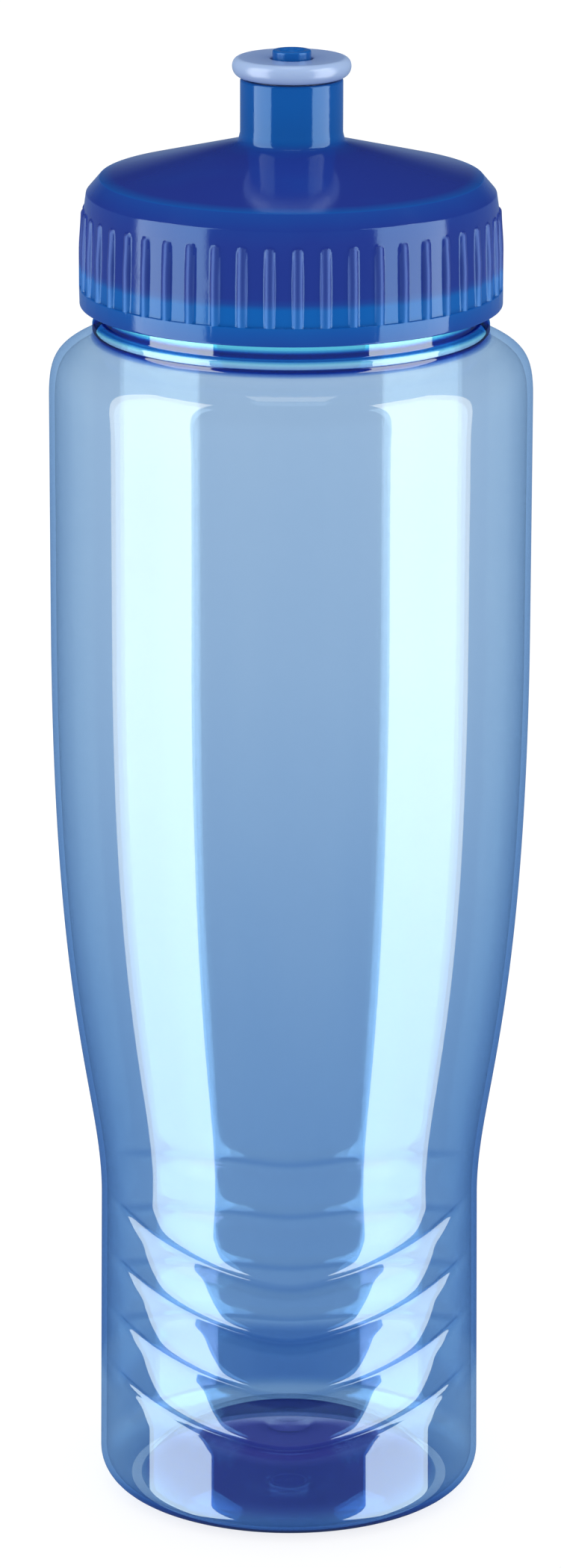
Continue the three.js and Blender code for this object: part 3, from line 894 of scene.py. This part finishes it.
def lid_spokes():
    """Three rounded bars from the centre pin to the sleeve, swept along their length."""
    section = []
    half_width = SPOKE_WIDTH / 2
    half_height = SPOKE_HEIGHT / 2
    for quarter in range(4):
        side = 1 if quarter in (0, 3) else -1
        level = 1 if quarter in (0, 1) else -1
        for turn in np.radians(90 * quarter + np.linspace(0, 90, 5)):
            across = side * (half_width - SPOKE_ROUNDING) + SPOKE_ROUNDING * math.cos(turn)
            up = level * (half_height - SPOKE_ROUNDING) + SPOKE_ROUNDING * math.sin(turn)
            section.append((across, SLEEVE_BOTTOM + half_height + up))
    points = []
    faces = []
    stations = np.linspace(PIN_RADIUS - SPOKE_SINK, SPOKE_REACH, SPOKE_STATIONS)
    count = len(section)
    for index in range(SPOKES):
        turn = index * 2 * math.pi / SPOKES
        start = len(points)
        for reach in stations:
            for across, height in section:
                x = reach * math.cos(turn) - across * math.sin(turn)
                y = reach * math.sin(turn) + across * math.cos(turn)
                points.append((x, y, height))
        for station in range(len(stations) - 1):
            for side in range(count):
                here = start + station * count + side
                beside = start + station * count + (side + 1) % count
                faces.append((here, beside, beside + count, here + count))
        last = start + (len(stations) - 1) * count
        faces.append(tuple(range(start + count - 1, start - 1, -1)))
        faces.append(tuple(range(last, last + count)))
    return mesh_object("lid_spokes", np.array(points), faces)


# ---- nozzle and liner ------------------------------------------------------------------------

NOZZLE_MILKY = (0.35, 0.48, 0.74, 1)
NOZZLE_SHADED = (0.12, 0.21, 0.49, 1)
NOZZLE_SCATTER = 0.15
NOZZLE_SCATTER_COLOUR = (0.6, 0.8, 1.2)
NOZZLE_SCATTER_REACH = 0.0012
NOZZLE_COLUMNS = 128
LIP_STEPS = 24

# Painted shade: the lip's top and the stem are painted darker than the lip's side; these are where they
# fade
TOP_FADE = (LIP_TOP - 1, LIP_TOP - 0.1)
RIM_OF_TOP_FADE = (LIP_FOOT_RADIUS - 0.35, LIP_FOOT_RADIUS + 0.65)
STEM_FADE = (LIP_BOTTOM - 0.6, LIP_BOTTOM + 0.2)
TOP_PAINTED_SHADE = 0.67
STEM_PAINTED_SHADE = 0.5


def frosted_blue():
    """Milky, slightly see-through plastic, with painted shade on the lip's top and on the stem."""
    graph = Graph("frosted_blue_nozzle_moulded")
    clouds = graph.spread(graph.noise(scale=250, detail=3), low=-0.02, high=0.02)
    # Painted shade: the depth attribute darkens the lip's top and the stem.
    depth = graph.math("ADD", graph.attribute("depth"), clouds)
    colour = graph.blend(depth, NOZZLE_MILKY, NOZZLE_SHADED)
    roughness = graph.spread(graph.noise(scale=200), low=0.21, high=0.24)
    grain = graph.bump(graph.noise(scale=600), strength=0.01, distance=0.0001)
    shader = graph.node("ShaderNodeBsdfPrincipled", {
        "Base Color": colour,
        "Roughness": roughness,
        "Normal": grain,
        "IOR": PLASTIC_IOR,
        "Subsurface Weight": NOZZLE_SCATTER,
        "Subsurface Radius": NOZZLE_SCATTER_COLOUR,
        "Subsurface Scale": NOZZLE_SCATTER_REACH,
    })
    return graph.finish(shader.outputs[0])


def make_nozzle():
    bulge = LIP_RADIUS + LIP_BULGE
    lip = bezier((LIP_FOOT_RADIUS, LIP_BOTTOM), (bulge, LIP_BOTTOM + LIP_BULGE), (bulge, LIP_TOP),
                 (LIP_FOOT_RADIUS, LIP_TOP), LIP_STEPS)
    outline = rounded([
        (STEM_BORE, STEM_BOTTOM, SOFT),
        (SNAP_RADIUS, STEM_BOTTOM, LIP_EDGE),
        (SNAP_RADIUS, STEM_BOTTOM + SNAP_HEIGHT, ROUND),
        (STEM_RADIUS, STEM_BOTTOM + SNAP_HEIGHT, CRISP),
        (STEM_RADIUS, LIP_BOTTOM, CRISP),
        *lip,
        (HOLE_RADIUS, LIP_TOP - LIP_DISH, LIP_EDGE),
        (HOLE_RADIUS, HOLE_FLOOR, CRISP),
        (STEM_BORE, HOLE_FLOOR - LIP_BULGE, CRISP),
    ], closed=True)
    shell = turned("nozzle_shell", outline, even_angles(NOZZLE_COLUMNS), closed=True)
    points = positions(shell)
    across = np.hypot(points[:, 0], points[:, 1])
    on_top = smoothstep(points[:, 2], *TOP_FADE) * (1 - smoothstep(across, *RIM_OF_TOP_FADE))
    below = 1 - smoothstep(points[:, 2], *STEM_FADE)
    # Painted shade: the depth attribute darkens the lip's top and the stem.
    write_values(shell, "depth", np.clip(TOP_PAINTED_SHADE * on_top + STEM_PAINTED_SHADE * below, 0, 1))
    shell.data.materials.append(frosted_blue())
    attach(shell, "nozzle")
    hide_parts("nozzle")


# Painted shade: the foam is painted darker in its pits, where its bump is lowest.
FOAM_PIT_SHADE = (0.78, 0.8, 0.83, 1)
FOAM_SKIN = (0.93, 0.94, 0.95, 1)


def white_liner_foam():
    graph = Graph("white_liner_foam_cells")
    cells = graph.noise(scale=2200, detail=5)
    shade = graph.blend(cells, FOAM_PIT_SHADE, FOAM_SKIN)
    roughness = graph.spread(graph.noise(scale=700), low=0.65, high=0.85)
    pits = graph.bump(cells, strength=0.35, distance=0.0002)
    inputs = {"Base Color": shade, "Roughness": roughness, "Normal": pits}
    return graph.finish(graph.node("ShaderNodeBsdfPrincipled", inputs).outputs[0])


def make_liner():
    outline = rounded([
        (LINER_INNER, LINER_BOTTOM, LINER_ROUNDING),
        (LINER_OUTER, LINER_BOTTOM, LINER_ROUNDING),
        (LINER_OUTER, LINER_TOP, LINER_ROUNDING),
        (LINER_INNER, LINER_TOP, LINER_ROUNDING),
    ], closed=True)
    ring = turned("liner_ring", outline, even_angles(LINER_COLUMNS), closed=True)
    ring.data.materials.append(white_liner_foam())
    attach(ring, "liner")
    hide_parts("seal_ring")


# ---- studio ----------------------------------------------------------------------------------

# The camera, in millimetres from the origin; its sensor and lens are in millimetres too
CAMERA_BACK = 996.6
CAMERA_HEIGHT = 404.4
CAMERA_DOWN = math.radians(16.10)
CAMERA_LEFT = math.radians(0.088)
CAMERA_ROLL = math.radians(0.1)
CAMERA_SENSOR = 24
CAMERA_LENS = 100.15
CAMERA_CLIP_END = 50  # metres

# The soft boxes, in metres. The strips' edges are in degrees from the front.
STRIP_DISTANCE = 0.9
STRIP_NEAR = 47
STRIP_FAR = 93
STRIP_BOTTOM = -1.6
STRIP_TOP = 1.25
STRIP_RADIANCE = 5.2

PANEL_HEIGHT = 1.6
PANEL_SIZE = 0.5
PANEL_RADIANCE = 2.0

# What glossy surfaces see of the room, as (how far up they look, colour) steps
MIRRORED_ROOM = (
    (0.0, (0.16, 0.23, 0.36, 1)),
    (0.25, (0.02, 0.022, 0.03, 1)),
)
ROOM_LIGHT = 1.054

# The floor reaches far past the camera's view, in metres. Most of its light is its own glow, so it
# is evenly white.
FLOOR_REACH = 6.0
FLOOR_SHADE = 0.26
FLOOR_GLOW = 0.78


def make_camera():
    camera = bpy.data.cameras.new("camera")
    camera.sensor_fit = "VERTICAL"
    camera.sensor_height = CAMERA_SENSOR
    camera.lens = CAMERA_LENS
    camera.clip_end = CAMERA_CLIP_END
    holder = bpy.data.objects.new("camera", camera)
    bpy.context.scene.collection.objects.link(holder)
    turn = Matrix.Rotation(CAMERA_LEFT, 4, "Z")
    tilt = Matrix.Rotation(math.pi / 2 - CAMERA_DOWN, 4, "X")
    roll = Matrix.Rotation(CAMERA_ROLL, 4, "Z")
    place = Matrix.Translation((0, -CAMERA_BACK * MM, CAMERA_HEIGHT * MM))
    holder.matrix_world = place @ turn @ tilt @ roll
    bpy.context.scene.camera = holder


def make_strip(name, side):
    """A tall soft box at one side, turned to face the bottle."""
    middle = math.radians((STRIP_NEAR + STRIP_FAR) / 2)
    half = math.radians((STRIP_FAR - STRIP_NEAR) / 2)
    lamp = bpy.data.lights.new(name, "AREA")
    lamp.shape = "RECTANGLE"
    lamp.size = 2 * STRIP_DISTANCE * math.tan(half)
    lamp.size_y = STRIP_TOP - STRIP_BOTTOM
    lamp.energy = STRIP_RADIANCE * math.pi * lamp.size * lamp.size_y
    holder = bpy.data.objects.new(name, lamp)
    bpy.context.scene.collection.objects.link(holder)
    height = (STRIP_TOP + STRIP_BOTTOM) / 2
    x = side * STRIP_DISTANCE * math.sin(middle)
    y = -STRIP_DISTANCE * math.cos(middle)
    holder.location = (x, y, height)
    holder.rotation_euler = (math.pi / 2, 0, side * middle)
    holder.visible_camera = False
    holder.visible_diffuse = False


def make_panel():
    """A small soft box overhead, which draws fine lines of light along the lid's edges."""
    lamp = bpy.data.lights.new("overhead_panel", "AREA")
    lamp.shape = "SQUARE"
    lamp.size = PANEL_SIZE
    lamp.energy = PANEL_RADIANCE * math.pi * PANEL_SIZE ** 2
    holder = bpy.data.objects.new("overhead_panel", lamp)
    bpy.context.scene.collection.objects.link(holder)
    holder.location = (0, 0, PANEL_HEIGHT)
    holder.visible_camera = False


def make_world():
    """White all round for the floor and the plastics, dim and darker overhead for reflections."""
    world = bpy.data.worlds.new("studio")
    bpy.context.scene.world = world
    world.use_nodes = True
    tree = world.node_tree
    tree.nodes.clear()

    def node(kind):
        return tree.nodes.new(kind)

    direction = node("ShaderNodeTexCoord").outputs["Generated"]
    split = node("ShaderNodeSeparateXYZ")
    tree.links.new(direction, split.inputs[0])
    ramp = node("ShaderNodeValToRGB")
    for element, (position, colour) in zip(ramp.color_ramp.elements, MIRRORED_ROOM):
        element.position = position
        element.color = colour
    tree.links.new(split.outputs["Z"], ramp.inputs[0])
    mirrored = node("ShaderNodeBackground")
    tree.links.new(ramp.outputs[0], mirrored.inputs["Color"])
    plain = node("ShaderNodeBackground")
    plain.inputs["Color"].default_value = (1, 1, 1, 1)
    plain.inputs["Strength"].default_value = ROOM_LIGHT
    path = node("ShaderNodeLightPath")
    mix = node("ShaderNodeMixShader")
    tree.links.new(path.outputs["Is Glossy Ray"], mix.inputs[0])
    tree.links.new(plain.outputs[0], mix.inputs[1])
    tree.links.new(mirrored.outputs[0], mix.inputs[2])
    output = node("ShaderNodeOutputWorld")
    tree.links.new(mix.outputs[0], output.inputs["Surface"])


def make_floor():
    corners = [(x * FLOOR_REACH, y * FLOOR_REACH, 0) for x, y in ((-1, -1), (1, -1), (1, 1), (-1, 1))]
    mesh = bpy.data.meshes.new("floor")
    mesh.from_pydata(corners, [], [(0, 1, 2, 3)])
    floor = bpy.data.objects.new("floor", mesh)
    bpy.context.scene.collection.objects.link(floor)
    graph = Graph("white_floor")
    shade = (FLOOR_SHADE, FLOOR_SHADE, FLOOR_SHADE, 1)
    paper = graph.node("ShaderNodeBsdfDiffuse", {"Color": shade}).outputs[0]
    glow = graph.node("ShaderNodeEmission", {"Strength": FLOOR_GLOW}).outputs[0]
    both = graph.node("ShaderNodeAddShader", {0: paper, 1: glow}).outputs[0]
    mesh.materials.append(graph.finish(both))
    floor.visible_glossy = False
    floor.visible_shadow = False


bpy.context.scene.view_settings.view_transform = "Standard"
make_camera()
make_world()
make_floor()
make_strip("left_strip", -1)
make_strip("right_strip", 1)
make_panel()
make_bottle()
make_lid()
make_nozzle()
make_liner()
